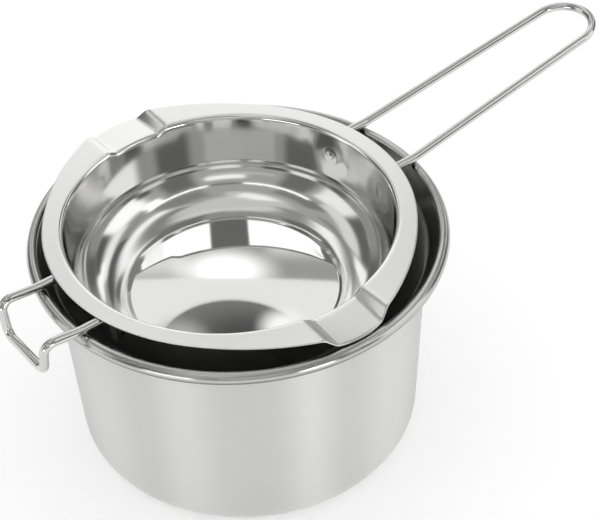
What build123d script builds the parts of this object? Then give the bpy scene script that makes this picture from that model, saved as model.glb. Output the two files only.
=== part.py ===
from build123d import *

import os
from math import atan2, cos, radians, sin, sqrt, tan

# Double boiler: a saucepan body, and a spouted melting bowl that hangs in its mouth by two
# bent wires, a long looped handle and a short rest hook, each welded under the bowl's flange.
# Origin at the middle of the pot's base, +Z up. The long handle points to +X, the hook to -X
# and the two pouring spouts to +Y and -Y. All lengths are in millimetres, angles in degrees.

# Pot: one drawn sheet, with its edge flared and curled into a bead
pot_sheet = 0.6
pot_height = 105.1
pot_wall_radius = 80.15
pot_wall_taper = 4.75
pot_corner_radius = 11.5
flare_length = 8.8
flare_angle = 30.0
flare_bend_radius = 8.0
bead_radius = 3.2
bead_turn_angle = 285.0

# Bowl: one pressed sheet with a flat flange and two pouring spouts, a little narrower over its
# flange than the pot's wall
insert_sheet = 0.6
flange_inset = 0.65
flange_width = 8.8
mouth_round = 2.0
bowl_depth = 40.0
bowl_corner_radius = 23.2
bowl_heel_radius = 14.0
bowl_heel_angle = 60.0
bowl_draft_angle = 5.0
ear_start_angle = 35.0
ear_overhang = 6.6
spout_overhang = 10.6
spout_width = 31.4
spout_floor_width = 22.0
spout_depth = 4.0
fold_radius = 1.6

# Where the bowl sits: its wires lie on the bead, a little off the pot's own middle
insert_shift_x = -1.4
insert_shift_y = 3.7
seat_gap = 0.3
flange_gap = 0.1

# Wires: round stainless rod, bent cold
wire_diameter = 4.0
wire_bend_radius = 4.6
wire_set_radius = 14.0
weld_leg_length = 13.0
weld_gap = 0.1
handle_root_half_width = 17.0
handle_bow_radius = 14.3
handle_length = 118.4
handle_rise_angle = 8.4
hook_root_half_width = 16.7
hook_end_half_width = 14.0
hook_length = 17.6
hook_rise_angle = 7.0
hook_drop = 15.9
hook_bend_radius = 4.8

# Welds: a nugget where each leg meets the bowl's wall
weld_radius = 2.6
weld_height = 9.0

# How far every cut and trimming block runs past the faces that it cuts
overrun = 20.0

# Sizes that follow from the ones above
pot_foot_radius = pot_wall_radius - pot_wall_taper
flange_radius = pot_wall_radius - flange_inset
bowl_mouth_radius = flange_radius - flange_width
wire_radius = wire_diameter / 2
leg_height = pot_height + seat_gap + wire_radius
flange_top = leg_height + wire_radius + flange_gap + insert_sheet
bead_line_radius = bead_radius - pot_sheet / 2
bead_centre_height = pot_height - bead_radius
bead_start_height = bead_centre_height + bead_line_radius * sin(radians(flare_angle))
flare_start_height = bead_start_height - flare_length * cos(radians(flare_angle))
bead_start_radius = pot_wall_radius - pot_sheet / 2 + flare_length * sin(radians(flare_angle))
bead_centre_radius = bead_start_radius + bead_line_radius * cos(radians(flare_angle))
insert_origin = Vector(insert_shift_x, insert_shift_y, flange_top)


def bead_point(angle):
    """A point of the sheet's middle line on the pot's bead, in the plane of radius and height."""
    along = bead_line_radius * cos(radians(angle))
    up = bead_line_radius * sin(radians(angle))
    return (bead_centre_radius + along, bead_centre_height + up)


# Pot shell: the sheet's middle line from the axis out to the curled edge, thickened and turned
bead_start_angle = 180.0 - flare_angle
foot_height = pot_sheet / 2
foot_line_radius = pot_foot_radius - pot_sheet / 2
with BuildPart() as pot_shell:
    with BuildSketch(Plane.XZ):
        with BuildLine():
            FilletPolyline(
                (0, foot_height),
                (foot_line_radius, foot_height),
                (pot_wall_radius - pot_sheet / 2, flare_start_height),
                bead_point(bead_start_angle),
                radius=[pot_corner_radius - pot_sheet / 2, flare_bend_radius],
            )
            CenterArc(
                (bead_centre_radius, bead_centre_height),
                bead_line_radius,
                bead_start_angle,
                -bead_turn_angle,
            )
        trace(line_width=pot_sheet)
    revolve(axis=Axis.Z)


# The bowl's corner is a wide arc up from the floor and a tighter one, the heel, into the wall.
# These centres make the straight wall tangent to the mouth's bend and to the heel.
lean = radians(bowl_draft_angle)
heel = radians(bowl_heel_angle)
mouth_centre = (bowl_mouth_radius + mouth_round, -mouth_round)
corner_height = bowl_corner_radius - bowl_depth
heel_height = corner_height - (bowl_corner_radius - bowl_heel_radius) * cos(heel)
heel_room = mouth_round + bowl_heel_radius - (heel_height + mouth_round) * sin(lean)
heel_centre = (mouth_centre[0] - heel_room / cos(lean), heel_height)
bowl_floor_radius = heel_centre[0] - (bowl_corner_radius - bowl_heel_radius) * sin(heel)
corner_centre = (bowl_floor_radius, corner_height)


def draw_bowl_face(depth, rim_radius):
    """Draw one face of the bowl's sheet in from the rim to the axis, and give its two ends.

    depth is 0 for the face that holds the food, and one sheet for the face under it.
    """
    mouth_bend = mouth_round - depth
    heel_bend = bowl_heel_radius + depth
    corner_bend = bowl_corner_radius + depth
    wall_top = (mouth_centre[0] - mouth_bend * cos(lean), mouth_centre[1] + mouth_bend * sin(lean))
    wall_foot = (heel_centre[0] + heel_bend * cos(lean), heel_centre[1] - heel_bend * sin(lean))
    rim = (rim_radius, -depth)
    floor = (0, -bowl_depth - depth)
    Line(rim, (mouth_centre[0], -depth))
    CenterArc(mouth_centre, mouth_bend, 90, 90 - bowl_draft_angle)
    Line(wall_top, wall_foot)
    heel_turn = 90 - bowl_heel_angle - bowl_draft_angle
    CenterArc(heel_centre, heel_bend, -bowl_draft_angle, -heel_turn)
    CenterArc(corner_centre, corner_bend, bowl_heel_angle - 90, -bowl_heel_angle)
    Line((bowl_floor_radius, floor[1]), floor)
    return rim, floor


# What the bowl holds, up past the flange: it trims the spouts' inner ends
insert_plane = Plane(origin=insert_origin, x_dir=(1, 0, 0), z_dir=(0, -1, 0))
insert_axis = Axis(insert_origin, (0, 0, 1))
blank_radius = flange_radius + spout_overhang + overrun
with BuildPart() as bowl_hollow:
    with BuildSketch(insert_plane):
        with BuildLine():
            rim, floor = draw_bowl_face(0, blank_radius)
            Polyline(rim, (blank_radius, overrun), (0, overrun), floor)
        make_face()
    revolve(axis=insert_axis)


def ear_arc():
    """Middle and end of the arc that widens the flange from its circle out to a spout."""
    start = radians(ear_start_angle)
    toward = (cos(start), sin(start))
    corner = (spout_width / 2, flange_radius + ear_overhang)
    along = corner[0] * toward[0] + corner[1] * toward[1]
    reach_gain = corner[0] ** 2 + corner[1] ** 2 - flange_radius**2
    back = reach_gain / (2 * (flange_radius - along))
    ear_radius = flange_radius + back
    centre = (-back * toward[0], -back * toward[1])
    end = atan2(corner[1] - centre[1], corner[0] - centre[0])
    middle = (start + end) / 2
    half_way = (centre[0] + ear_radius * cos(middle), centre[1] + ear_radius * sin(middle))
    return (flange_radius * toward[0], flange_radius * toward[1]), half_way, corner


# Outline of the flange with its two spouts, as a tall block that trims the sheet
ear_start, ear_middle, ear_corner = ear_arc()
spout_tip = (0, flange_radius + spout_overhang)
block_depth = bowl_depth + overrun
with BuildPart() as outline_block:
    with BuildSketch(Plane(origin=insert_origin - Vector(0, 0, block_depth))):
        with BuildLine():
            ThreePointArc(
                (flange_radius, 0),
                (
                    flange_radius * cos(radians(ear_start_angle) / 2),
                    flange_radius * sin(radians(ear_start_angle) / 2),
                ),
                ear_start,
            )
            ThreePointArc(ear_start, ear_middle, ear_corner)
            mirror(about=Plane.YZ)
            ThreePointArc(ear_corner, spout_tip, (-ear_corner[0], ear_corner[1]))
            mirror(about=Plane.XZ)
        make_face()
    extrude(amount=block_depth + overrun)

# Middle line of the sheet across a spout, with a little of the flange at each side
fold = atan2(spout_depth, (spout_width - spout_floor_width) / 2)
half_sheet = insert_sheet / 2
half_width = spout_width / 2 + half_sheet * tan(fold / 2)
half_floor = spout_floor_width / 2 + half_sheet * tan(fold / 2)
land = half_width + fold_radius
trough = [
    (land, -half_sheet),
    (half_width, -half_sheet),
    (half_floor, -spout_depth - half_sheet),
    (-half_floor, -spout_depth - half_sheet),
    (-half_width, -half_sheet),
    (-land, -half_sheet),
]

# The space over that line, and the folded sheet along it
with BuildPart() as spout_space:
    with BuildSketch(insert_plane):
        with BuildLine():
            FilletPolyline(*trough, radius=fold_radius)
            Polyline(trough[0], (land, overrun), (-land, overrun), trough[-1])
        make_face()
    extrude(amount=blank_radius, both=True)

with BuildPart() as spout_sheet:
    with BuildSketch(insert_plane):
        with BuildLine():
            FilletPolyline(*trough, radius=fold_radius)
        trace(line_width=insert_sheet)
    extrude(amount=blank_radius, both=True)
    add(outline_block.part, mode=Mode.INTERSECT)
    add(bowl_hollow.part, mode=Mode.SUBTRACT)

# Insert bowl: floor, wall and flange turned about the bowl's own axis, then the spouts let in
with BuildPart() as insert_bowl:
    with BuildSketch(insert_plane):
        with BuildLine():
            top_rim, top_floor = draw_bowl_face(0, blank_radius)
            low_rim, low_floor = draw_bowl_face(insert_sheet, blank_radius)
            Line(top_rim, low_rim)
            Line(top_floor, low_floor)
        make_face()
    revolve(axis=insert_axis)
    add(outline_block.part, mode=Mode.INTERSECT)
    add(spout_space.part, mode=Mode.SUBTRACT)
    add(spout_sheet.part)

# How far a wire's middle stands from the bowl's axis where its leg lies along the wall
leg_drop = flange_top - leg_height
wall_stand = insert_sheet + weld_gap + wire_radius


def leg_reach(side, depth):
    """Distance along X from the bowl's axis to a wire leg, at a depth under the flange."""
    stand = (wall_stand - mouth_round) / cos(lean)
    reach = mouth_centre[0] + stand - (depth - mouth_round) * tan(lean)
    return sqrt(reach**2 - side**2)


def welded_leg(direction, side):
    """The two lowest points of a leg: its welded end, and its bend under the flange."""
    low = leg_drop + weld_leg_length
    low_point = Vector(direction * leg_reach(side, low), side, -low)
    bend = Vector(direction * leg_reach(side, leg_drop), side, -leg_drop)
    return insert_origin + low_point, insert_origin + bend


def rim_crossing(direction, side):
    """Where a leg passes over the top of the pot's bead, and takes its upward set."""
    reach = direction * bead_centre_radius
    return Vector(reach, insert_shift_y + side, leg_height)


def section_plane(start, toward):
    """A plane across a wire at its end."""
    return Plane(origin=start, z_dir=toward - start)


# Long handle: one rod, up the wall, out over the bead, round the bow and back
rise = radians(handle_rise_angle)
straight = handle_length - handle_bow_radius
bow_base_x = bead_centre_radius + straight * cos(rise)
bow_base_z = leg_height + straight * sin(rise)
with BuildPart() as long_handle:
    with BuildLine() as handle_line:
        ends = []
        for side in (1, -1):
            low_point, bend = welded_leg(1, side * handle_root_half_width)
            crossing = rim_crossing(1, side * handle_root_half_width)
            bow_start = Vector(bow_base_x, insert_shift_y + side * handle_bow_radius, bow_base_z)
            FilletPolyline(
                low_point, bend, crossing, bow_start, radius=[wire_bend_radius, wire_set_radius]
            )
            ends.append((low_point, bend, crossing, bow_start))
        TangentArc(ends[0][3], ends[1][3], tangent=ends[0][3] - ends[0][2])
    with BuildSketch(section_plane(ends[0][0], ends[0][1])):
        Circle(wire_radius)
    sweep(path=handle_line.line)

# Rest hook: the same rod, out over the bead, down, across and back
rise = radians(hook_rise_angle)
hook_x = -bead_centre_radius - hook_length * cos(rise)
hook_z = leg_height + hook_length * sin(rise)
with BuildPart() as rest_hook:
    with BuildLine() as hook_line:
        points = []
        for side in (1, -1):
            low_point, bend = welded_leg(-1, side * hook_root_half_width)
            crossing = rim_crossing(-1, side * hook_root_half_width)
            shoulder = Vector(hook_x, insert_shift_y + side * hook_root_half_width, hook_z)
            foot = Vector(hook_x, insert_shift_y + side * hook_end_half_width, hook_z - hook_drop)
            points.append([low_point, bend, crossing, shoulder, foot])
        route = points[0] + points[1][::-1]
        bends = [wire_bend_radius, wire_set_radius, hook_bend_radius, hook_bend_radius]
        FilletPolyline(*route, radius=bends + bends[::-1])
    with BuildSketch(section_plane(points[0][0], points[0][1])):
        Circle(wire_radius)
    sweep(path=hook_line.line)

# Outer face of the bowl as a solid, to trim the weld nuggets
with BuildPart() as bowl_block:
    with BuildSketch(insert_plane):
        with BuildLine():
            rim, floor = draw_bowl_face(insert_sheet, blank_radius)
            Polyline(rim, (blank_radius, overrun), (0, overrun), floor)
        make_face()
    revolve(axis=insert_axis)


def weld_planes(direction, half_width):
    """A plane at the middle of each nugget, facing in from the leg to the bowl's wall."""
    depth = leg_drop + weld_height
    for side in (half_width, -half_width):
        centre = insert_origin + Vector(direction * leg_reach(side, depth), side, -depth)
        inward = Vector(insert_shift_x, insert_shift_y, centre.Z) - centre
        yield Plane(origin=centre, z_dir=inward)


# Weld nuggets: a short round slug from each leg in to the bowl's wall
with BuildPart() as handle_welds:
    with BuildSketch(*weld_planes(1, handle_root_half_width)):
        Circle(weld_radius)
    extrude(amount=wire_diameter)
    add(bowl_block.part, mode=Mode.SUBTRACT)
    add(long_handle.part, mode=Mode.SUBTRACT)

with BuildPart() as hook_welds:
    with BuildSketch(*weld_planes(-1, hook_root_half_width)):
        Circle(weld_radius)
    extrude(amount=wire_diameter)
    add(bowl_block.part, mode=Mode.SUBTRACT)
    add(rest_hook.part, mode=Mode.SUBTRACT)

# One file for each named piece
os.makedirs("parts", exist_ok=True)
pieces = {
    "pot_shell": pot_shell,
    "insert_bowl": insert_bowl,
    "long_handle": long_handle,
    "rest_hook": rest_hook,
    "handle_welds": handle_welds,
    "hook_welds": hook_welds,
}
for name, piece in pieces.items():
    piece.part.label = name
    export_step(piece.part, f"parts/{name}.step")
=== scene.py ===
# %% [markdown]
# # Double boiler: a saucepan body and a spouted melting bowl
#
# Everything here is stainless steel, and it is made in only three ways: sheet that is drawn or
# spun round (the pot), sheet that is pressed (the bowl), and wire that is bent (the long handle
# and the rest hook). The steps below follow those ways. A line is drawn and turned into a round
# shell, the shell is pressed, or a line is bent and thickened into a rod.
#
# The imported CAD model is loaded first. It fixes where each piece sits and what moves with what.

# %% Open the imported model
import math

import bmesh
import bpy
from mathutils import Matrix, Vector


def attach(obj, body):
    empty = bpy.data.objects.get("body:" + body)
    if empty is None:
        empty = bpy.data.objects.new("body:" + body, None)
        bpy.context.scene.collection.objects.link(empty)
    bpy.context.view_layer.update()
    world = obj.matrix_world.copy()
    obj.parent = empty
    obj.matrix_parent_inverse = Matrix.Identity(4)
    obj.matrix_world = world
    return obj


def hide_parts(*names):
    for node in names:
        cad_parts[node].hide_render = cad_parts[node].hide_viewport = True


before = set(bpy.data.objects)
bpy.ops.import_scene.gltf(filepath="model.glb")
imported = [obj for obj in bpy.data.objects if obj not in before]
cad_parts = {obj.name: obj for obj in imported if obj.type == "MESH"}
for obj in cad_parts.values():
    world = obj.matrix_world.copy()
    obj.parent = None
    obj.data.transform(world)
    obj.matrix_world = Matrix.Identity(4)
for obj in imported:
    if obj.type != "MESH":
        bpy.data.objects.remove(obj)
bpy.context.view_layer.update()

# %% [markdown]
# ## Sizes
#
# These are the sizes of the real pieces, in millimetres, as the CAD model has them. Two places
# are drawn nearer to the real pieces than the CAD model is: the pot's bead is curled tighter, and
# the spouts have softer folds and start shallow. Blender works in metres, so `mm` turns one into
# the other where a shape is made. The bowl is drawn in its own frame, with the top of its flange
# at height zero, and is set into the pot at the end.

# %% Sizes of the pot, the bowl and the wires
SHEET = 0.6

# the pot, its flare and its bead
POT_HEIGHT = 105.1
POT_WALL = 80.15
POT_FOOT = 75.4
POT_CORNER = 11.5
FLARE_LENGTH = 10.85
FLARE_LEAN = math.radians(30)
FLARE_BEND = 8.0
BEAD = 2.65
BEAD_TURN = math.radians(285)
BEAD_CROSSING = 86.76

# the bowl, its ears and its spouts
FLANGE = 79.5
FLANGE_WIDTH = 8.8
MOUTH_BEND = 2.0
BOWL_DEPTH = 40.0
BOWL_CORNER = 23.2
BOWL_HEEL = 14.0
HEEL_ANGLE = math.radians(60)
BOWL_DRAFT = math.radians(5)
EAR_START = math.radians(35)
EAR_OVERHANG = 6.6
SPOUT_OVERHANG = 10.6
SPOUT_HALF = 15.7
SPOUT_FLOOR_HALF = 11.0
SPOUT_DEPTH = 4.0
THROAT_SHARE = 0.6
FOLD_BEND = 3.0

# the handle, the hook and their welds
WIRE = 4.0
WIRE_BEND = 4.6
WIRE_SET = 14.0
LEG_LENGTH = 13.0
LEG_GAP = 0.1
HANDLE_ROOT_HALF = 17.0
HANDLE_BOW = 14.3
HANDLE_LENGTH = 118.4
HANDLE_RISE = math.radians(8.4)
HOOK_ROOT_HALF = 16.7
HOOK_END_HALF = 14.0
HOOK_LENGTH = 17.6
HOOK_RISE = math.radians(7)
HOOK_DROP = 15.9
HOOK_BEND = 4.8
WELD_DEPTH = 9.0
WELD_RADIUS = 2.6

# how the bowl stands on the pot, a little off its middle
BEAD_GAP = 0.3
FLANGE_GAP = 0.1
LEG_HEIGHT = POT_HEIGHT + BEAD_GAP + WIRE / 2
FLANGE_TOP = LEG_HEIGHT + WIRE / 2 + FLANGE_GAP + SHEET
BOWL_PLACE = Vector((-1.4, 3.7, FLANGE_TOP))
LEG_DROP = FLANGE_TOP - LEG_HEIGHT


def mm(*lengths):
    """Millimetres to metres: one number, or a vector of three."""
    if len(lengths) == 1:
        return lengths[0] / 1000
    return Vector(lengths) / 1000


print("bowl flange top at", round(FLANGE_TOP, 2), "mm")

# %% [markdown]
# ## Drawing and turning a line
#
# A potter or a metal spinner thinks of a round vessel as one line, its section, turned about
# its middle. The line starts as a small plane that is merged to a single vertex. Extruding the
# vertex draws a straight run, and spinning it draws an arc, so a section is a chain of runs and
# bends, just as it would be read off a drawing. Turning the whole chain about the upright axis
# with the same Spin tool makes the shell, one sheet thick once a Solidify modifier is applied.

# %% Helpers for drawing a line vertex by vertex


def select_only(piece):
    """Deselect everything, then select one piece and make it active."""
    bpy.ops.object.select_all(action="DESELECT")
    piece.select_set(True)
    bpy.context.view_layer.objects.active = piece


def start_line(name, start):
    """Add a small plane and merge it to one vertex at the start of a line. Stays in edit mode."""
    bpy.ops.object.select_all(action="DESELECT")
    bpy.ops.mesh.primitive_plane_add(size=mm(1), location=start)
    piece = bpy.context.object
    piece.name = piece.data.name = name
    bpy.ops.object.transform_apply(location=True, rotation=True, scale=True)
    bpy.ops.object.mode_set(mode="EDIT")
    bpy.ops.mesh.select_all(action="SELECT")
    bpy.ops.mesh.merge(type="CENTER")
    return piece


def line_end(piece):
    """Where the line's selected end vertex is."""
    mesh = bmesh.from_edit_mesh(piece.data)
    return next(v.co.copy() for v in mesh.verts if v.select)


def run_to(piece, point, steps=1):
    """Extrude the end vertex in a straight run to a point, in equal steps."""
    move = (Vector(point) - line_end(piece)) / steps
    for _ in range(steps):
        bpy.ops.mesh.extrude_region_move(TRANSFORM_OT_translate={"value": move})


def bend_round(piece, centre, turn, steps, axis=(0, 1, 0)):
    """Spin the end vertex round a centre. With no window, Spin turns clockwise about its axis,
    so about +Y a positive turn goes from +X to +Z."""
    bpy.ops.mesh.spin(steps=steps, angle=turn, center=centre, axis=axis)


def recalculate_normals():
    """Point all faces outwards, once the doubles are merged. Needs edit mode."""
    bpy.ops.mesh.select_all(action="SELECT")
    bpy.ops.mesh.remove_doubles(threshold=mm(0.001))
    bpy.ops.mesh.normals_make_consistent(inside=False)


def apply_modifiers(piece):
    """Apply all modifiers of a piece, in order."""
    select_only(piece)
    for modifier in list(piece.modifiers):
        bpy.ops.object.modifier_apply(modifier=modifier.name)


def thicken(piece, edge_round):
    """Give a shell its sheet thickness, half to each side, and break its cut edges."""
    wall = piece.modifiers.new("sheet thickness", "SOLIDIFY")
    wall.thickness = mm(SHEET)
    wall.offset = 0
    wall.use_even_offset = True
    edges = piece.modifiers.new("broken edges", "BEVEL")
    edges.width = mm(edge_round)
    edges.segments = 3
    edges.limit_method = "ANGLE"
    edges.angle_limit = math.radians(60)
    apply_modifiers(piece)


def report(piece):
    """Print how many faces a piece has, and its size in millimetres."""
    size = [round(1000 * side, 1) for side in piece.dimensions]
    print(piece.name, len(piece.data.polygons), "faces", size)


# %% [markdown]
# ## The pot
#
# The saucepan body is drawn from one stainless disc: a flat base, a rounded corner, a wall that
# widens a little upwards, then a flare and an edge that is curled into a round bead so that it
# is safe to touch and pours cleanly. All of that is in its section, so the section is drawn
# with care and the rest is one turn. The bead is really a tube of sheet, so the line curls on
# round, and light finds the dark gap at its end. The flat base gets a few rings on the way out,
# so that its faces don't grow too long and thin.

# %% Where the pot's section turns
POT_STEPS = 240
POT_BASE_RINGS = (20, 40, 55)
POT_EDGE_ROUND = 0.15
half = SHEET / 2


def round_corner(before, corner, after, radius):
    """Start, centre and turn of the arc that rounds a corner of a line in the XZ plane."""
    arriving = (corner - before).normalized()
    leaving = (after - corner).normalized()
    turn = arriving.angle(leaving)
    start = corner - arriving * radius * math.tan(turn / 2)
    inward = (leaving - arriving).normalized()
    centre = corner + inward * radius / math.cos(turn / 2)
    side = arriving.x * leaving.z - arriving.z * leaving.x
    return start, centre, math.copysign(turn, side)


bead_centre_height = POT_HEIGHT - BEAD
bead_line = BEAD - half
bead_start_height = bead_centre_height + bead_line * math.sin(FLARE_LEAN)
flare_start_height = bead_start_height - FLARE_LENGTH * math.cos(FLARE_LEAN)
bead_start_radius = POT_WALL - half + FLARE_LENGTH * math.sin(FLARE_LEAN)
bead_centre_radius = bead_start_radius + bead_line * math.cos(FLARE_LEAN)

foot = mm(POT_FOOT - half, 0, half)
neck = mm(POT_WALL - half, 0, flare_start_height)
flare_top = mm(bead_start_radius, 0, bead_start_height)
print("the flare starts", round(flare_start_height, 2), "mm up")

# %% Draw the pot's section and turn it
pot = start_line("pot_body", mm(0, 0, half))
for radius in POT_BASE_RINGS:
    run_to(pot, mm(radius, 0, half))
start, centre, turn = round_corner(mm(0, 0, half), foot, neck, mm(POT_CORNER - half))
run_to(pot, start)
bend_round(pot, centre, turn, steps=20)
start, centre, turn = round_corner(foot, neck, flare_top, mm(FLARE_BEND))
run_to(pot, start, steps=12)
bend_round(pot, centre, turn, steps=8)
run_to(pot, flare_top, steps=2)
bend_round(pot, mm(bead_centre_radius, 0, bead_centre_height), -BEAD_TURN, steps=44)
bpy.ops.mesh.select_all(action="SELECT")
bpy.ops.mesh.spin(steps=POT_STEPS, angle=math.tau, center=(0, 0, 0), axis=(0, 0, 1))
recalculate_normals()
bpy.ops.object.mode_set(mode="OBJECT")
thicken(pot, POT_EDGE_ROUND)
report(pot)

# %% [markdown]
# ## The melting bowl
#
# The bowl is pressed. A press first draws a round pan with a flat flange, then trims the
# flange's outline and pushes the two pouring spouts down into it. The model is made in the same
# order. A quarter of a round pan is turned, its columns of vertices are gathered where the
# press will need them, and each vertex is then moved to where the press puts it. A Mirror
# modifier completes the pan, because both spouts and both halves are alike.
#
# The pan's own line runs through the middle of its sheet, which lies half a sheet under its
# upper face.

# %% Draw and turn a quarter of the round pan
QUARTER_STEPS = 132
BOWL_FLOOR_RINGS = (12, 24, 36, 44)
BOWL_EDGE_ROUND = 0.18
floor_height = -BOWL_DEPTH - half
mouth_inner = FLANGE - FLANGE_WIDTH + MOUTH_BEND
into_bowl = Vector((-math.cos(BOWL_DRAFT), 0, math.sin(BOWL_DRAFT)))
mouth_middle = Vector((mouth_inner, 0, -MOUTH_BEND))
heel_height = BOWL_CORNER - BOWL_DEPTH - (BOWL_CORNER - BOWL_HEEL) * math.cos(HEEL_ANGLE)
heel_room = MOUTH_BEND + BOWL_HEEL - (heel_height + MOUTH_BEND) * math.sin(BOWL_DRAFT)
heel_middle = Vector((mouth_inner - heel_room / math.cos(BOWL_DRAFT), 0, heel_height))
bowl_floor = heel_middle.x - (BOWL_CORNER - BOWL_HEEL) * math.sin(HEEL_ANGLE)
corner_middle = Vector((bowl_floor, 0, BOWL_CORNER - BOWL_DEPTH))
wall_foot = heel_middle - into_bowl * (BOWL_HEEL + half)
wall_top = mouth_middle + into_bowl * (MOUTH_BEND - half)
print("bowl floor radius", round(bowl_floor, 2), "wall from", wall_foot, "to", wall_top)

bowl = start_line("melting_bowl", mm(0, 0, floor_height))
for radius in BOWL_FLOOR_RINGS:
    run_to(bowl, mm(radius, 0, floor_height))
run_to(bowl, mm(bowl_floor, 0, floor_height), steps=3)
bend_round(bowl, mm(*corner_middle), HEEL_ANGLE, steps=22)
bend_round(bowl, mm(*heel_middle), math.pi / 2 - HEEL_ANGLE - BOWL_DRAFT, steps=10)
run_to(bowl, mm(*wall_top), steps=18)
bend_round(bowl, mm(*mouth_middle), BOWL_DRAFT - math.pi / 2, steps=9)
run_to(bowl, mm(FLANGE, 0, -half), steps=12)
bpy.ops.mesh.select_all(action="SELECT")
bpy.ops.mesh.spin(steps=QUARTER_STEPS, angle=-math.pi / 2, center=(0, 0, 0), axis=(0, 0, 1))
bpy.ops.mesh.select_all(action="SELECT")
bpy.ops.mesh.remove_doubles(threshold=mm(0.001))
bpy.ops.object.mode_set(mode="OBJECT")
report(bowl)

# %% [markdown]
# ## Pressing the spouts
#
# Three rules say where the press moves a point of the pan.
#
# * `fold_drop` is the spout's own section: level flange, a rounded fold, a slope, a second
#   fold and the flat floor of the trough.
# * `outline` is the trimmed edge: a circle by the handle and the hook, a wider arc that grows
#   out to each spout, and the lip of the spout.
# * the wall under a spout is cut lower by the depth of the trough at that place, and the bend
#   at the bowl's mouth moves down with it, so that food flows over a round edge. The trough
#   starts shallow there and reaches its full depth at the lip, so that it drains.

# %% The spout's section and the flange's outline
fold_angle = math.atan2(SPOUT_DEPTH, SPOUT_HALF - SPOUT_FLOOR_HALF)
fold_set = half * math.tan(fold_angle / 2)
fold_reach = FOLD_BEND * math.tan(fold_angle / 2)
upper_fold = SPOUT_HALF + fold_set
lower_fold = SPOUT_FLOOR_HALF + fold_set


def fold_drop(across):
    """How far the sheet lies under the flange, at a distance from the spout's middle line."""
    across = abs(across)
    from_top = upper_fold + fold_reach - across
    from_floor = across - (lower_fold - fold_reach)
    arc = FOLD_BEND * math.sin(fold_angle)
    if from_top <= 0:
        return 0.0
    if from_top < arc:
        return FOLD_BEND - math.sqrt(FOLD_BEND**2 - from_top**2)
    if from_floor <= 0:
        return SPOUT_DEPTH
    if from_floor < arc:
        return SPOUT_DEPTH - FOLD_BEND + math.sqrt(FOLD_BEND**2 - from_floor**2)
    return (upper_fold - across) * math.tan(fold_angle)


ear_toward = Vector((math.cos(EAR_START), math.sin(EAR_START)))
ear_corner = Vector((SPOUT_HALF, FLANGE + EAR_OVERHANG))
ear_back = (ear_corner.length_squared - FLANGE**2) / (2 * (FLANGE - ear_corner.dot(ear_toward)))
ear_radius = FLANGE + ear_back
ear_middle = -ear_back * ear_toward
lip_rise = SPOUT_OVERHANG - EAR_OVERHANG
lip_radius = (SPOUT_HALF**2 + lip_rise**2) / (2 * lip_rise)
lip_middle = FLANGE + SPOUT_OVERHANG - lip_radius


def outline_over(across):
    """The outline's point beside a spout's middle line, at a distance across from it."""
    if across < SPOUT_HALF:
        return Vector((across, lip_middle + math.sqrt(lip_radius**2 - across**2)))
    beside = across - ear_middle.x
    return Vector((across, ear_middle.y + math.sqrt(ear_radius**2 - beside**2)))


def outline_at(angle):
    """The outline's point in a direction, as an angle from the spout's middle line."""
    toward = Vector((math.sin(angle), math.cos(angle)))
    if angle >= math.pi / 2 - EAR_START:
        return toward * FLANGE
    along = toward.dot(ear_middle)
    reach = along + math.sqrt(along**2 + ear_radius**2 - ear_middle.length_squared)
    return toward * reach


print("fold angle", round(math.degrees(fold_angle), 1), "lip radius", round(lip_radius, 1))

# %% [markdown]
# The columns are gathered first. Equal steps would leave too few columns in the narrow folds,
# so the steps are narrower near a spout's fold and near the weld marks. Each of the two places
# is given by its angle from the spout, how far it spreads, and how much closer the columns stand.

# %% Gather the columns
SPOUT_MARGIN = 1.4
side_land = upper_fold + fold_reach + SPOUT_MARGIN
side_angle = math.asin(side_land / mouth_inner)
side_outer = outline_over(side_land)
side_outer_angle = math.atan2(side_outer.x, side_outer.y)
plain_angle = math.pi / 2 - EAR_START
weld_angle = math.acos(HANDLE_ROOT_HALF / mouth_inner)
CROWDED = ((0.19, 0.07, 3.5), (weld_angle, 0.08, 1.0))

shares = []
for step in range(QUARTER_STEPS):
    angle = (step + 0.5) / QUARTER_STEPS * math.pi / 2
    crowding = 1
    for place, spread, closer in CROWDED:
        crowding += closer * math.exp(-(((angle - place) / spread) ** 2))
    shares.append(1 / crowding)
column_angles = [0.0]
for share in shares:
    column_angles.append(column_angles[-1] + share)
column_angles = [a / column_angles[-1] * math.pi / 2 for a in column_angles]


def gathered(angle):
    """The new angle of a column that was turned at this angle from the spout's middle line."""
    return column_angles[round(angle / (math.pi / 2) * QUARTER_STEPS)]


gaps = [math.degrees(b - a) for a, b in zip(column_angles, column_angles[1:])]
print("columns are", round(min(gaps), 2), "to", round(max(gaps), 2), "degrees apart")

# %% [markdown]
# Then the pan is pressed. Beside the spout the flange's columns run straight out, so that the
# folds stay straight. Beyond it they turn back, bit by bit, to point away from the bowl's middle.

# %% Press the pan
TOUCH = 0.001


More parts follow.
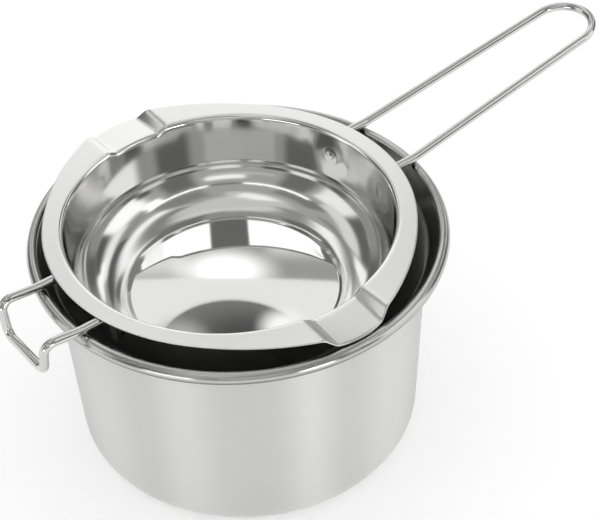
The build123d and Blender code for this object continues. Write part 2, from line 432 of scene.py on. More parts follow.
def press(point):
    """Move a point of the round pan, in millimetres, to where the press puts it."""
    radius = math.hypot(point.x, point.y)
    if radius < TOUCH:
        return point
    angle = gathered(math.atan2(abs(point.x), abs(point.y)))
    drop = THROAT_SHARE * fold_drop(mouth_inner * math.sin(angle))
    pull_in = drop * math.tan(BOWL_DRAFT)
    height = point.z
    if radius > mouth_inner - TOUCH and height > -MOUTH_BEND:
        share = (radius - mouth_inner) / (FLANGE - mouth_inner)
        inner = Vector((math.sin(angle), math.cos(angle))) * (mouth_inner - pull_in)
        if angle <= side_angle:
            outer = outline_over(mouth_inner * math.sin(angle))
            inner = Vector((outer.x, math.sqrt((mouth_inner - pull_in) ** 2 - outer.x**2)))
        elif angle < plain_angle:
            way = (angle - side_angle) / (plain_angle - side_angle)
            outer = outline_at(side_outer_angle + way * (plain_angle - side_outer_angle))
        else:
            outer = outline_at(angle)
        place = inner.lerp(outer, share)
        deepening = THROAT_SHARE + (1 - THROAT_SHARE) * share
        return Vector((place.x, place.y, -half - deepening * fold_drop(place.x)))
    if height > wall_top.z - TOUCH:
        radius, height = radius - pull_in, height - drop
    elif height > wall_foot.z:
        way = (height - wall_foot.z) / (wall_top.z - wall_foot.z)
        radius, height = radius - pull_in * way, height - drop * way
    return Vector((radius * math.sin(angle), radius * math.cos(angle), height))


for vertex in bowl.data.vertices:
    vertex.co = mm(*press(vertex.co * 1000))
bowl.data.update()
report(bowl)

# %% [markdown]
# ## Marks of making inside the bowl
#
# Two things show that the bowl was made by people. The flat floor ends in a fine sharp line,
# where the punch's flat face stopped, and each weld has pulled a shallow dimple into the wall
# opposite a leg of the handle or the hook. Its heat also left faint ripples round it, which a
# mirror shows far more than a finger feels. All are small moves of the same vertices.

# %% Floor line and weld dimples
FLOOR_LINE_DEPTH = 0.12
FLOOR_LINE_INSET = 0.9
DIMPLE_DEPTH = 0.35
DIMPLE_RADIUS = 3.4
RIPPLE_DEPTH = 0.05
RIPPLE_LENGTH = 11.0
RIPPLE_REACH = 15.0
RIPPLE_END = 2.5 * RIPPLE_REACH
FADE_AT_MOUTH = 4
FADE_AT_FOOT = 6
weld_height = -(LEG_DROP + WELD_DEPTH)
wall_radius = wall_top.x - (wall_top.z - weld_height) * math.tan(BOWL_DRAFT)
weld = Vector((math.sqrt(wall_radius**2 - HANDLE_ROOT_HALF**2), HANDLE_ROOT_HALF, weld_height))


def mark(point):
    """Press the floor's line, the dimples and the ripples into a point, in millimetres."""
    radius = math.hypot(point.x, point.y)
    if radius < bowl_floor - FLOOR_LINE_INSET and point.z < floor_height + 1:
        point.z += FLOOR_LINE_DEPTH
    away = (Vector((abs(point.x), abs(point.y), point.z)) - weld).length
    if away < DIMPLE_RADIUS:
        pull = DIMPLE_DEPTH * (1 + math.cos(math.pi * away / DIMPLE_RADIUS)) / 2
        point.x *= 1 - pull / radius
        point.y *= 1 - pull / radius
    if away < RIPPLE_END and wall_foot.z - FADE_AT_FOOT < point.z < -MOUTH_BEND:
        fade = math.exp(-((away / RIPPLE_REACH) ** 2))
        fade *= min(1, (-MOUTH_BEND - point.z) / FADE_AT_MOUTH)
        fade *= min(1, (point.z - wall_foot.z + FADE_AT_FOOT) / FADE_AT_FOOT)
        ripple = RIPPLE_DEPTH * fade * math.cos(2 * math.pi * away / RIPPLE_LENGTH)
        point.x *= 1 + ripple / radius
        point.y *= 1 + ripple / radius
    return point


for vertex in bowl.data.vertices:
    vertex.co = mm(*mark(vertex.co * 1000))
print("welds", round(-weld_height, 2), "mm under the flange,", round(wall_radius, 2), "mm out")

# %% [markdown]
# A mirror across both axes makes a whole pan of the quarter, the sheet gets its thickness, and the
# bowl is set into the pot.

# %% Complete the bowl
select_only(bowl)
twins = bowl.modifiers.new("both halves", "MIRROR")
twins.use_axis = (True, True, False)
twins.merge_threshold = mm(0.01)
apply_modifiers(bowl)
bpy.ops.object.mode_set(mode="EDIT")
recalculate_normals()
bpy.ops.object.mode_set(mode="OBJECT")
thicken(bowl, BOWL_EDGE_ROUND)
bowl.data.transform(Matrix.Translation(mm(*BOWL_PLACE)))
report(bowl)

# %% [markdown]
# ## Bent wire
#
# The handle and the hook are 4 mm stainless rod, bent cold over small rollers, so every corner
# is an arc and every length between is dead straight. A wire is drawn as the chain of its
# corners. Bevelling a vertex rounds that corner, as the roller would. The chain then becomes a
# curve, its bevel depth gives the rod's thickness, and it is turned back into a mesh.

# %% Bend a wire through its corners


def leg_reach(side, depth):
    """How far out a leg stands from the bowl's axis, on the outer wall, at a depth."""
    stand = (SHEET + LEG_GAP + WIRE / 2 - MOUTH_BEND) / math.cos(BOWL_DRAFT)
    reach = mouth_inner + stand - (depth - MOUTH_BEND) * math.tan(BOWL_DRAFT)
    return math.sqrt(reach**2 - side**2)


def leg_points(direction, side):
    """The lower end of a leg, its bend under the flange, and where it crosses the bead."""
    low = LEG_DROP + LEG_LENGTH
    foot_end = BOWL_PLACE + Vector((direction * leg_reach(side, low), side, -low))
    bend = BOWL_PLACE + Vector((direction * leg_reach(side, LEG_DROP), side, -LEG_DROP))
    crossing = Vector((direction * BEAD_CROSSING, BOWL_PLACE.y + side, LEG_HEIGHT))
    return [foot_end, bend, crossing]


def round_off(piece, corner, before, after, radius, steps):
    """Bevel one vertex of a wire's chain to an arc of that radius."""
    bpy.ops.mesh.select_all(action="DESELECT")
    mesh = bmesh.from_edit_mesh(piece.data)
    for vertex in mesh.verts:
        vertex.select = (vertex.co - mm(*corner)).length < mm(0.01)
    mesh.select_flush_mode()
    bmesh.update_edit_mesh(piece.data)
    turn = (corner - before).angle(after - corner)
    reach = mm(radius * math.tan(turn / 2))
    bpy.ops.mesh.bevel(offset=reach, offset_type="OFFSET", segments=steps, affect="VERTICES")


def make_rod(piece):
    """Turn a chain of edges into a closed round rod."""
    bpy.ops.object.mode_set(mode="OBJECT")
    select_only(piece)
    bpy.ops.object.convert(target="CURVE")
    piece.data.bevel_depth = mm(WIRE / 2)
    piece.data.bevel_resolution = 10
    piece.data.use_fill_caps = True
    bpy.ops.object.convert(target="MESH")
    bpy.ops.object.mode_set(mode="EDIT")
    recalculate_normals()
    bpy.ops.object.mode_set(mode="OBJECT")
    report(piece)


# %% [markdown]
# The handle's two legs lie on the bowl's wall, bend out under its flange, rest on the pot's
# bead, rise a little, and meet in a half-round bow at the far end. The bow is drawn with Spin.

# %% The long handle
bow_x = BEAD_CROSSING + (HANDLE_LENGTH - HANDLE_BOW) * math.cos(HANDLE_RISE)
bow_z = LEG_HEIGHT + (HANDLE_LENGTH - HANDLE_BOW) * math.sin(HANDLE_RISE)
bow_middle = Vector((bow_x, BOWL_PLACE.y, bow_z))
legs = {}
for side in (1, -1):
    bow_start = bow_middle + Vector((0, side * HANDLE_BOW, 0))
    legs[side] = leg_points(1, side * HANDLE_ROOT_HALF) + [bow_start]

handle = start_line("handle_wire", mm(*legs[1][0]))
for corner in legs[1][1:]:
    run_to(handle, mm(*corner))
bow_axis = Vector((-math.sin(HANDLE_RISE), 0, math.cos(HANDLE_RISE)))
bend_round(handle, mm(*bow_middle), math.pi, steps=40, axis=bow_axis)
for corner in reversed(legs[-1][:3]):
    run_to(handle, mm(*corner))
for side in (1, -1):
    low, bend, crossing, bow_start = legs[side]
    round_off(handle, bend, low, crossing, WIRE_BEND, steps=12)
    round_off(handle, crossing, bend, bow_start, WIRE_SET, steps=4)
make_rod(handle)

# %% [markdown]
# The hook is the same rod. It crosses the bead, turns down outside the pot, and its two sides
# lean together to a short crossbar.

# %% The rest hook
hook_x = -BEAD_CROSSING - HOOK_LENGTH * math.cos(HOOK_RISE)
hook_z = LEG_HEIGHT + HOOK_LENGTH * math.sin(HOOK_RISE)
arms = {}
for side in (1, -1):
    shoulder = Vector((hook_x, BOWL_PLACE.y + side * HOOK_ROOT_HALF, hook_z))
    toe = Vector((hook_x, BOWL_PLACE.y + side * HOOK_END_HALF, hook_z - HOOK_DROP))
    arms[side] = leg_points(-1, side * HOOK_ROOT_HALF) + [shoulder, toe]
route = arms[1] + arms[-1][::-1]
bends = [WIRE_BEND, WIRE_SET, HOOK_BEND, HOOK_BEND]
bends += bends[::-1]

hook = start_line("rest_hook_wire", mm(*route[0]))
for corner in route[1:]:
    run_to(hook, mm(*corner))
for place, radius in enumerate(bends, start=1):
    before, corner, after = route[place - 1 : place + 2]
    round_off(hook, corner, before, after, radius, steps=12)
make_rod(hook)

# %% [markdown]
# ## Weld nuggets
#
# Each leg is resistance welded to the bowl: current melts a small slug of steel between the
# two, and pressure squeezes it out a little. A sphere is flattened between leg and wall, and
# its surface is roughened with a Displace modifier, because squeezed metal is never smooth.

# %% Make the nuggets of one wire
LEG_STAND = LEG_GAP + WIRE / 2
WELD_INTO_LEG = 0.55
WELD_FLATNESS = 0.3
SQUEEZE_LENGTH = 1.6
SQUEEZE_HEIGHT = 0.3
weld_noise = bpy.data.textures.new("squeezed metal", "CLOUDS")
weld_noise.noise_scale = mm(SQUEEZE_LENGTH)


def weld_beads(name, direction, side_half):
    """Two flattened nuggets, between the legs of one wire and the bowl's outer wall."""
    depth = LEG_DROP + WELD_DEPTH
    beads = []
    for side in (side_half, -side_half):
        leg = Vector((direction * leg_reach(side, depth), side, -depth))
        outward = Vector((leg.x, leg.y, 0)).normalized()
        place = BOWL_PLACE + leg - outward * (LEG_STAND - WELD_INTO_LEG)
        bpy.ops.object.select_all(action="DESELECT")
        bpy.ops.mesh.primitive_uv_sphere_add(
            segments=40, ring_count=24, radius=mm(WELD_RADIUS), location=mm(*place)
        )
        bead = bpy.context.object
        turn = math.atan2(outward.y, outward.x)
        bpy.ops.object.mode_set(mode="EDIT")
        bpy.ops.transform.resize(value=(WELD_FLATNESS, 1, 1), center_override=mm(*place))
        bead.rotation_euler.z = turn
        bpy.ops.object.mode_set(mode="OBJECT")
        bpy.ops.object.transform_apply(location=True, rotation=True, scale=True)
        rough = bead.modifiers.new("squeezed metal", "DISPLACE")
        rough.texture = weld_noise
        rough.strength = mm(SQUEEZE_HEIGHT)
        apply_modifiers(bead)
        beads.append(bead)
    bpy.ops.object.select_all(action="DESELECT")
    for bead in beads:
        bead.select_set(True)
    bpy.context.view_layer.objects.active = beads[0]
    bpy.ops.object.join()
    beads[0].name = beads[0].data.name = name
    report(beads[0])
    return beads[0]


handle_beads = weld_beads("handle_weld_beads", 1, HANDLE_ROOT_HALF)
hook_beads = weld_beads("hook_weld_beads", -1, HOOK_ROOT_HALF)

# %% [markdown]
# ## Smooth light on smooth metal
#
# Polished metal shows every facet, so all faces are shaded smooth, and only edges sharper than
# 50 degrees, where the sheet or the wire was cut, stay sharp.

# %% Shade every piece smooth
SHARP_ANGLE = math.radians(50)
for piece in (pot, bowl, handle, hook, handle_beads, hook_beads):
    select_only(piece)
    bpy.ops.object.shade_smooth_by_angle(angle=SHARP_ANGLE)
    print(piece.name, "is smooth")

# %% [markdown]
# ## Stainless steel, four times
#
# All pieces are stainless steel. It is a pale, very slightly warm mirror, and what changes from
# piece to piece is only how the last tool left its surface. `node` adds one shader node
# with its settings and links, and `colour` turns the hex codes of a paint chart into the linear
# numbers that the shader wants.

# %% Shader helpers


def colour(code):
    """A hex colour such as "d8d6d2" as linear red, green, blue and alpha."""
    channels = [int(code[i : i + 2], 16) / 255 for i in (0, 2, 4)]
    linear = [c / 12.92 if c <= 0.04045 else ((c + 0.055) / 1.055) ** 2.4 for c in channels]
    return (*linear, 1.0)


def node(tree, kind, inputs=None, **settings):
    """Add one node to a tree, with its settings, and its input values or links."""
    made = tree.nodes.new(kind)
    for name, value in settings.items():
        setattr(made, name, value)
    for socket, value in (inputs or {}).items():
        if isinstance(value, bpy.types.NodeSocket):
            tree.links.new(value, made.inputs[socket])
        else:
            made.inputs[socket].default_value = value
    return made


def new_material(name):
    """Make a material with an empty tree. Returns both."""
    material = bpy.data.materials.new(name)
    material.use_nodes = True
    material.node_tree.nodes.clear()
    return material, material.node_tree


def polishing_lines(tree, centre, spacing_mm, swing):
    """Noise that runs in fine rings round an upright axis, as a turning cloth or belt leaves it.

    The lines are stacked along radius plus height, which grows steadily from the middle of a
    base up to a rim, so one rule serves floors and walls. `swing` is how often a line changes in
    a metre of its own length. Returns the noise, and each point's radius and height.
    """
    place = node(tree, "ShaderNodeTexCoord").outputs["Object"]
    about = node(tree, "ShaderNodeVectorMath", {0: place, 1: centre}, operation="SUBTRACT")
    split = node(tree, "ShaderNodeSeparateXYZ", {0: about.outputs[0]})
    x, y, z = (split.outputs[axis] for axis in "XYZ")
    flat = node(tree, "ShaderNodeCombineXYZ", {"X": x, "Y": y})
    radius = node(tree, "ShaderNodeVectorMath", {0: flat.outputs[0]}, operation="LENGTH")
    climb = node(tree, "ShaderNodeMath", {0: radius.outputs["Value"], 1: z}, operation="ADD")
    lines_in_metre = 1000 / spacing_mm
    across = node(
        tree, "ShaderNodeMath", {0: climb.outputs[0], 1: lines_in_metre}, operation="MULTIPLY"
    )
    along = node(tree, "ShaderNodeVectorMath", {0: flat.outputs[0]}, operation="SCALE")
    along.inputs["Scale"].default_value = swing
    rings = node(tree, "ShaderNodeCombineXYZ", {"Z": across.outputs[0]})
    joined = node(
        tree, "ShaderNodeVectorMath", {0: along.outputs[0], 1: rings.outputs[0]}, operation="ADD"
    )
    lines = node(
        tree, "ShaderNodeTexNoise", {"Vector": joined.outputs[0], "Scale": 1.0, "Detail": 3.0}
    )
    return lines.outputs["Fac"], radius.outputs["Value"], z


print("paint code c6c6c5 is", round(colour("c6c6c5")[0], 3), "in linear light")

# %% [markdown]
# ### Satin stainless steel, brushed round the pot
#
# The wall of the pot is turned against an abrasive belt. Its fine scratches run round the pot,
# so they blur reflections up and down far more than sideways: that is what anisotropy does. The
# bead and the flare above the wall are polished brighter, because the curling rollers burnish
# them. A thin line under the bead is painted darker in the colour: painted shade, where the bead
# hangs over the flare. Real belt lines are about 0.05 mm apart. They are drawn 0.35 mm apart, the
# finest that shows at this size.

# %% Satin steel of the pot
BELT_TOP = 95.5
ROLLERS_FROM = 97.5
# painted shade under the bead: the colour darkens between these two heights
SHADE_UNDER_BEAD_FROM = bead_centre_height + 0.1
SHADE_UNDER_BEAD_FULLY = bead_centre_height - 0.7
BEAD_ROUGHNESS = 0.2
satin, tree = new_material("satin stainless steel, belt brushed")
lines, radius, height = polishing_lines(tree, (0, 0, 0), spacing_mm=0.35, swing=22)
burnished = node(
    tree,
    "ShaderNodeMapRange",
    {"Value": height, "From Min": mm(BELT_TOP), "From Max": mm(ROLLERS_FROM)},
)
grain = node(tree, "ShaderNodeMapRange", {"Value": lines, "To Min": 0.44, "To Max": 0.54})
rough = node(
    tree,
    "ShaderNodeMix",
    {"Factor": burnished.outputs[0], "A": grain.outputs[0], "B": BEAD_ROUGHNESS},
)
tone = node(
    tree,
    "ShaderNodeMix",
    {"Factor": lines, "A": colour("dadada"), "B": colour("e4e4e3")},
    data_type="RGBA",
)
steel = node(
    tree,
    "ShaderNodeMix",
    {"Factor": burnished.outputs[0], "A": tone.outputs["Result"], "B": colour("bebebd")},
    data_type="RGBA",
)
# painted shade: a darker grey colour under the bead's middle, outside the wall, stands in for the
# shade there
shade_under_bead = node(
    tree,
    "ShaderNodeMapRange",
    {"Value": height, "From Min": mm(SHADE_UNDER_BEAD_FROM), "From Max": mm(SHADE_UNDER_BEAD_FULLY)},
)
outside = node(
    tree, "ShaderNodeMath", {0: radius, 1: mm(bead_start_radius)}, operation="GREATER_THAN"
)
painted_shade = node(
    tree,
    "ShaderNodeMath",
    {0: shade_under_bead.outputs[0], 1: outside.outputs[0]},
    operation="MULTIPLY",
)
steel = node(
    tree,
    "ShaderNodeMix",
    {"Factor": painted_shade.outputs[0], "A": steel.outputs["Result"], "B": colour("7c7c7b")},
    data_type="RGBA",
)
scratch = node(tree, "ShaderNodeBump", {"Height": lines, "Strength": 0.05, "Distance": mm(0.02)})
shader = node(
    tree,
    "ShaderNodeBsdfPrincipled",
    {
        "Base Color": steel.outputs["Result"],
        "Roughness": rough.outputs[0],
        "Normal": scratch.outputs[0],
        "Metallic": 1.0,
        "Anisotropic": 0.85,
        "Anisotropic Rotation": 0.25,
    },
)
tangent = node(tree, "ShaderNodeTangent", direction_type="RADIAL", axis="Z")
tree.links.new(tangent.outputs[0], shader.inputs["Tangent"])
node(tree, "ShaderNodeOutputMaterial", {"Surface": shader.outputs["BSDF"]})
print("made", satin.name)

# %% [markdown]
# ### Mirror polished stainless steel, with a satin flange
#
# The inside of the bowl is buffed to a mirror so that nothing sticks to it. The mop can't press
# as hard into the corner between floor and wall, so the polish stays a little softer there. The
# flange is left as the press made it, and looks whiter because it is a little rougher.

# %% Where the bowl's polish changes
# how far from the bowl's axis each zone begins, and where it is fully there
ZONES = {
    "flange": (mouth_inner - 1.0, mouth_inner + 0.2),
    "floor": (bowl_floor, bowl_floor - 1),
    "off the floor": (bowl_floor, bowl_floor + 5),
    "off the wall": (wall_foot.x + 0.5, wall_foot.x - 2),
}
mirror, tree = new_material("mirror polished stainless steel")
bowl_axis = mm(BOWL_PLACE.x, BOWL_PLACE.y, 0)
lines, radius, _ = polishing_lines(tree, bowl_axis, spacing_mm=0.5, swing=30)
masks = {}
for zone, (begins, full) in ZONES.items():
    mask = node(
        tree,
        "ShaderNodeMapRange",
        {"Value": radius, "From Min": mm(begins), "From Max": mm(full)},
    )
    masks[zone] = mask.outputs[0]
in_corner = node(
    tree,
    "ShaderNodeMath",
    {0: masks["off the floor"], 1: masks["off the wall"]},
    operation="MULTIPLY",
)
print("the corner lies", round(bowl_floor, 1), "to", round(wall_foot.x, 1), "mm out")

# %% Polished steel of the bowl
CORNER_ROUGHNESS = 0.12
FLOOR_ROUGHNESS = 0.02
inner_grain = node(tree, "ShaderNodeMapRange", {"Value": lines, "To Min": 0.06, "To Max": 0.09})
flange_grain = node(tree, "ShaderNodeMapRange", {"Value": lines, "To Min": 0.17, "To Max": 0.24})
corner_grain = node(
    tree,
    "ShaderNodeMix",
    {"Factor": in_corner.outputs[0], "A": inner_grain.outputs[0], "B": CORNER_ROUGHNESS},
)
floor_grain = node(
    tree,
    "ShaderNodeMix",
    {"Factor": masks["floor"], "A": corner_grain.outputs[0], "B": FLOOR_ROUGHNESS},
)
rough = node(
    tree,
    "ShaderNodeMix",
    {"Factor": masks["flange"], "A": floor_grain.outputs[0], "B": flange_grain.outputs[0]},
)
shader = node(
    tree,
    "ShaderNodeBsdfPrincipled",
    {"Base Color": colour("e2e2e1"), "Roughness": rough.outputs[0], "Metallic": 1.0},
)
node(tree, "ShaderNodeOutputMaterial", {"Surface": shader.outputs["BSDF"]})
print("made", mirror.name)

# %% [markdown]
# ### Bright drawn wire
#
# Wire is pulled through a die and then tumbled with steel balls. That leaves it bright, with only
# a faint blur, which is a little stronger, and the metal a little paler, where the balls hit it
# more often. Such patches are about a centimetre long.

# %% Bright steel of the wires
PATCHES_IN_METRE = 90.0
bright, tree = new_material("bright drawn stainless wire")
place = node(tree, "ShaderNodeTexCoord").outputs["Object"]
patches = node(
    tree, "ShaderNodeTexNoise", {"Vector": place, "Scale": PATCHES_IN_METRE, "Detail": 2.0}
)
rough = node(
    tree, "ShaderNodeMapRange", {"Value": patches.outputs["Fac"], "To Min": 0.08, "To Max": 0.16}
)
tone = node(
    tree,
    "ShaderNodeMix",
    {"Factor": patches.outputs["Fac"], "A": colour("c6c6c5"), "B": colour("d6d6d5")},
    data_type="RGBA",
)
shader = node(
    tree,
    "ShaderNodeBsdfPrincipled",
    {"Base Color": tone.outputs["Result"], "Roughness": rough.outputs[0], "Metallic": 1.0},
)
node(tree, "ShaderNodeOutputMaterial", {"Surface": shader.outputs["BSDF"]})
print("made", bright.name)

# %% [markdown]
# ### Cleaned weld metal
#
# Weld metal freezes rough and a little darker, in grains of about 0.7 mm, with a straw tint from
# the heat that cleaning never quite removes.

# %% Weld metal
GRAINS_IN_METRE = 1400.0
weld_steel, tree = new_material("pickled weld metal")
place = node(tree, "ShaderNodeTexCoord").outputs["Object"]
frozen = node(
    tree, "ShaderNodeTexNoise", {"Vector": place, "Scale": GRAINS_IN_METRE, "Detail": 3.0}
)
tone = node(
    tree,
    "ShaderNodeMix",
    {"Factor": frozen.outputs["Fac"], "A": colour("8d8880"), "B": colour("c6c1b6")},
    data_type="RGBA",
)
pits = node(
    tree,
    "ShaderNodeBump",
    {"Height": frozen.outputs["Fac"], "Strength": 0.4, "Distance": mm(0.15)},
)
shader = node(
    tree,
    "ShaderNodeBsdfPrincipled",
    {
        "Base Color": tone.outputs["Result"],
        "Roughness": 0.42,
        "Normal": pits.outputs[0],
        "Metallic": 1.0,
    },
)
node(tree, "ShaderNodeOutputMaterial", {"Surface": shader.outputs["BSDF"]})
print("made", weld_steel.name)

# %% [markdown]
# ## Put the pieces on the frame
#
# Each piece gets its material, rides on the body that it moves with, and says which CAD node it
# stands for. The wires and welds ride on the insert, so they lift out with the bowl.

# %% Ride, replace and finish
for piece, material, body, slot, replaced in (
    (pot, satin, "pot", "brushed_steel", "pot_shell"),
    (bowl, mirror, "insert", "polished_steel", "insert_bowl"),
    (handle, bright, "insert", "wire_steel", "long_handle"),
    (hook, bright, "insert", "wire_steel", "rest_hook"),
    (handle_beads, weld_steel, "insert", "weld_steel", "handle_welds"),
    (hook_beads, weld_steel, "insert", "weld_steel", "hook_welds"),
):
    piece.data.materials.clear()
    piece.data.materials.append(material)
    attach(piece, body)
    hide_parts(replaced)
    print(piece.name, "rides on", body, "and stands for", replaced)

# %% [markdown]
# ## Studio
#
# Shiny steel has no look of its own: it shows the room. The camera sees a plain white backdrop,
# but the metal sees the photo studio round it, whose soft boxes, boards and dark gaps are what
# draws the shape of a bowl. That room is painted on the world by direction, so it stays still
# when the camera moves.

# %% Floor
FLOOR_SIZE = 6
FLOOR_HEIGHT = -0.2
FLOOR_GLOW = 0.25
bpy.ops.object.select_all(action="DESELECT")
bpy.ops.mesh.primitive_plane_add(size=FLOOR_SIZE, location=(0, 0, mm(FLOOR_HEIGHT)))
floor = bpy.context.object
floor.name = floor.data.name = "studio_floor"
paper, tree = new_material("white paper floor")
ray = node(tree, "ShaderNodeLightPath")
seen = node(
    tree,
    "ShaderNodeMath",
    {0: ray.outputs["Is Camera Ray"], 1: ray.outputs["Is Glossy Ray"]},
    operation="MAXIMUM",
)
diffuse = node(tree, "ShaderNodeBsdfDiffuse", {"Color": colour("f4f4f4")})
glow = node(tree, "ShaderNodeEmission", {"Color": colour("ffffff"), "Strength": FLOOR_GLOW})
both = node(tree, "ShaderNodeAddShader", {0: diffuse.outputs[0], 1: glow.outputs[0]})
mixed = node(
    tree,
    "ShaderNodeMixShader",
    {0: seen.outputs[0], 1: diffuse.outputs[0], 2: both.outputs[0]},
)
node(tree, "ShaderNodeOutputMaterial", {"Surface": mixed.outputs[0]})
floor.data.materials.append(paper)
print("the floor is", FLOOR_SIZE, "m wide, of", paper.name)

# %% [markdown]
# ### The room
#
# The world is a grey room with soft boxes, white boards and dark flags hung in it. Each one is a
# panel: where it hangs (its compass direction, half its width, and the heights of its lower and
# upper edges, all in degrees), how soft its edge is, how much it slopes to one side, and how
# bright it is, where 1 is white paper. Panels are painted one over another, as a photographer
# hangs them. An oval is given in the same way, and its softness is a share of its size.
#
# A bowl is a strict mirror. Its flat wall and floor send all rays of one bounce pattern to the
# same height in the room: one bounce on the floor looks 41 to 42 degrees up, wall and then floor
# look 26 or 27, floor and then wall look 50, and wall, floor and wall look 36 or 37. So a narrow
# strip at one of these heights lights one zone of the bowl, and the curved corner shows the whole
# room.

# %% Panels of the room
CAMERA_SIDE = -123
FAR_SIDE = 57
ROOM_GREY = 0.43
# name: direction, half width, lower edge, upper edge, softness, slope, brightness
PANELS = {
    "ceiling": (0, 190, 69, 95, 6, 0, 0.68),
    "dim ceiling right of the camera": (-84, 36, 67, 80, 6, 0, 0.42),
    "ceiling lamp": (180, 36, 72, 82, 5, 0, 1.15),
    "pale ceiling at the far side": (58, 30, 60, 72, 5, 0, 0.76),
    "right flag": (-87, 12, -5, 47, 8, 0, 0.16),
    "upper right flag": (-72, 26, 43, 72, 8, 0, 0.26),
    "right soft box": (-40, 19, -5, 39, 9, 0, 1.3),
    "left flag": (-177, 12, -5, 47, 8, 0, 0.17),
    "upper left flag": (162, 26, 47, 62, 6, 0, 0.22),
    "left board": (150, 15, -5, 40, 6, 0, 1.05),
    "upper left board": (122, 28, 35, 48, 4, 0, 0.85),
    "left gap": (113, 20, 5, 34, 6, 0, 0.14),
    "low strip right of the camera": (-91, 8, -5, 9, 2, 0, 7.0),
    "low strip left of the camera": (-161, 12, -5, 9, 3, 0, 4.0),
    "far board": (58, 19, -5, 32, 6, 0, 1.25),
    "left soft box": (86, 5, 24, 40, 3, 0, 1.2),
    "right board": (-4, 24, 32, 42, 5, 0.1, 1.05),
    "sloping right board": (16, 12, 22, 32, 5, 0.35, 1.3),
    "right gap": (-5, 16, 5, 28.5, 4, 0, 0.11),
    "grey board": (-24, 26, 43, 52, 6, 0, 0.33),
    "flag under the right lamp": (16, 22, 37.5, 46.5, 3, 0.3, 0.1),
    "right lamp": (6, 46, 50.5, 58.5, 5, 0.22, 1.2),
    "flag over the right lamp": (8, 46, 61, 69, 4, 0.22, 0.26),
    "flag under the left lamp": (94, 22, 45, 51, 3, -0.4, 0.28),
    "left lamp": (72, 20, 46, 54, 4, -0.3, 1.2),
    "flag over the left lamp": (80, 24, 58, 66, 4, -0.3, 0.3),
    "far soft box": (FAR_SIDE, 12, 26, 39.8, 3, 0, 1.2),
    "far lamp": (FAR_SIDE, 12, 45.2, 54, 3, 0, 1.25),
    "flag beside the far lamp": (43.5, 4.5, 38.5, 45, 1.5, 0, 0.11),
    "soft box beside the camera": (-122, 15, 30, 39, 5, 0, 1.2),
    "wall behind the camera": (-134, 24, 24.5, 29, 3, 0, 0.6),
    "overhead soft box": (CAMERA_SIDE, 78, 48.5, 51.3, 1.2, 0, 2.0),
    "gap for the camera": (-122, 15.5, 47.5, 52, 1.5, 0, 0.2),
    "upper right soft box": (-57.5, 9, 38, 50, 4, 0, 1.45),
    "gap under the upper right soft box": (-62.5, 6, 2, 22, 4, 0, 0.1),
}

# %% [markdown]
# The bowl's flat floor shows only a small patch of the room, and shows it sharply, a little
# askew. What hangs there is smaller and finer: a backdrop with two boards and the glow of a lamp,
# and in front of them a pale ceiling with the round hood over the camera.

# %% Small things that the bowl's floor shows
ASKEW = 0.064
FLOOR_PANELS = {
    "backdrop": (FAR_SIDE, 6.5, 39.6, 41.7, 0.3, ASKEW, 0.4),
    "white board left": (60.4, 1.6, 39.6, 41.3, 0.9, ASKEW, 0.9),
    "white board right": (53.8, 1.7, 39.6, 40.9, 1.0, ASKEW, 1.25),
}
FLOOR_OVALS = {
    "lamp glow": (57.25, 1.5, 40.85, 41.85, 0.75, ASKEW, 1.7),
}
FLOOR_FRONT = {
    "pale ceiling": (FAR_SIDE, 7.5, 41.6, 44.5, 0.05, ASKEW, 1.02),
}
FLOOR_FRONT_OVALS = {
    "rim of the round hood": (57.08, 3.36, 42.28, 45.66, 0.006, ASKEW, 0.05),
    "round hood": (57.08, 3.3, 42.34, 45.6, 0.01, ASKEW, 0.22),
    "shade in the hood": (56.6, 1.9, 42.75, 44.3, 0.6, ASKEW, 0.1),
    "light in the hood at the left": (59.4, 1.0, 42.8, 43.9, 0.6, ASKEW, 0.55),
    "light in the hood at the right": (55.0, 0.9, 42.75, 43.75, 0.55, ASKEW, 1.25),
}
# every layer of the room, from back to front, and whether it is of ovals
LAYERS = (
    (PANELS, False),
    (FLOOR_PANELS, False),
    (FLOOR_OVALS, True),
    (FLOOR_FRONT, False),
    (FLOOR_FRONT_OVALS, True),
)
print(sum(len(layer) for layer, _ in LAYERS), "panels and ovals hang in the room")

# %% [markdown]
# The pattern is worked out from the direction in which a ray leaves: its compass direction and
# its height, as angles. A panel is a mask of both, and each mask mixes the panel's brightness
# over what hangs behind it.

# %% A panel as nodes of the world
world = bpy.data.worlds.new("white studio")
bpy.context.scene.world = world
world.use_nodes = True
tree = world.node_tree
tree.nodes.clear()
toward = node(tree, "ShaderNodeTexCoord").outputs["Generated"]
split = node(tree, "ShaderNodeSeparateXYZ", {0: toward})
x, y, z = (split.outputs[axis] for axis in "XYZ")
compass = node(tree, "ShaderNodeMath", {0: y, 1: x}, operation="ARCTAN2").outputs[0]
climb = node(tree, "ShaderNodeMath", {0: z}, operation="ARCSINE").outputs[0]


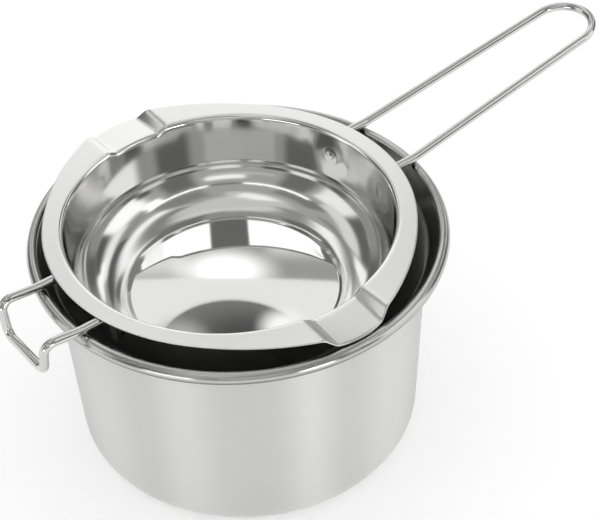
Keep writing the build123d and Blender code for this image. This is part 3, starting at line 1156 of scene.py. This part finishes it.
def hang(behind, panel, oval):
    """Hang a panel, or an oval, in front of what is behind it. Returns the new brightness."""
    direction, half_width, low, high, soft, slope, brightness = panel
    aside = node(tree, "ShaderNodeMath", {0: compass, 1: math.radians(direction)})
    aside.operation = "SUBTRACT"
    near = node(tree, "ShaderNodeMath", {0: aside.outputs[0], 1: math.pi, 2: -math.pi})
    near.operation = "WRAP"
    level = node(tree, "ShaderNodeMath", {0: near.outputs[0], 1: slope, 2: climb})
    level.operation = "MULTIPLY_ADD"
    middle = math.radians((low + high) / 2)
    above = node(tree, "ShaderNodeMath", {0: level.outputs[0], 1: middle}, operation="SUBTRACT")
    edges = []
    for offset, reach in ((near, half_width), (above, (high - low) / 2)):
        away = node(tree, "ShaderNodeMath", {0: offset.outputs[0]}, operation="ABSOLUTE")
        inner, outer = math.radians(reach - soft / 2), math.radians(reach + soft / 2)
        if oval:
            away = node(tree, "ShaderNodeMath", {0: away.outputs[0], 1: math.radians(reach)})
            away.operation = "DIVIDE"
        edges.append((away.outputs[0], inner, outer))
    if oval:
        both = node(tree, "ShaderNodeCombineXYZ", {"X": edges[0][0], "Y": edges[1][0]})
        away = node(tree, "ShaderNodeVectorMath", {0: both.outputs[0]}, operation="LENGTH")
        edges = [(away.outputs["Value"], 1 - soft, 1 + soft)]
    masks = [
        node(
            tree,
            "ShaderNodeMapRange",
            {"Value": away, "From Min": inner, "From Max": outer, "To Min": 1.0, "To Max": 0.0},
            interpolation_type="SMOOTHSTEP",
        )
        for away, inner, outer in edges
    ]
    mask = masks[0]
    if not oval:
        mask = node(tree, "ShaderNodeMath", {0: mask.outputs[0], 1: masks[1].outputs[0]})
        mask.operation = "MULTIPLY"
    mixed = node(tree, "ShaderNodeMix", {"Factor": mask.outputs[0], "A": behind, "B": brightness})
    return mixed.outputs["Result"]


print("the world is a", world.name)

# %% Hang the room
DULL_LIGHT = 0.9
light = ROOM_GREY
for layer, oval in LAYERS:
    for panel in layer.values():
        light = hang(light, panel, oval)

ray = node(tree, "ShaderNodeLightPath")
white = node(tree, "ShaderNodeBackground", {"Color": colour("ffffff"), "Strength": 1.0})
plain = node(tree, "ShaderNodeBackground", {"Color": colour("ffffff"), "Strength": DULL_LIGHT})
room = node(tree, "ShaderNodeBackground", {"Color": colour("ffffff"), "Strength": light})
metal = node(
    tree,
    "ShaderNodeMixShader",
    {0: ray.outputs["Is Glossy Ray"], 1: plain.outputs[0], 2: room.outputs[0]},
)
mixed = node(
    tree,
    "ShaderNodeMixShader",
    {0: ray.outputs["Is Camera Ray"], 1: metal.outputs[0], 2: white.outputs[0]},
)
node(tree, "ShaderNodeOutputWorld", {"Surface": mixed.outputs[0]})
print(len(tree.nodes), "nodes make the room")

# %% [markdown]
# ## Camera
#
# The photograph was taken with a long lens from about 0.8 m, looking down at 41 degrees. The
# camera's place and turn were found by fitting the pot's rim, wall and base.

# %% Camera
CAMERA_PLACE = Vector((-0.33264, -0.50515, 0.61429))
SENSOR_WIDTH = 36
LENS = 111.69
camera_data = bpy.data.cameras.new("studio camera")
camera_data.sensor_width = SENSOR_WIDTH
camera_data.lens = LENS
camera = bpy.data.objects.new("studio camera", camera_data)
bpy.context.scene.collection.objects.link(camera)
right = Vector((0.79212, -0.60935, -0.03528)).normalized()
up = Vector((0.42273, 0.50600, 0.75184)).normalized()
back = right.cross(up).normalized()
up = back.cross(right)
turn = Matrix((right, up, back)).transposed().to_4x4()
camera.matrix_world = Matrix.Translation(CAMERA_PLACE) @ turn
bpy.context.scene.camera = camera
bpy.context.scene.view_settings.view_transform = "Standard"
print("the camera looks down at", round(math.degrees(math.asin(back.z)), 1), "degrees")
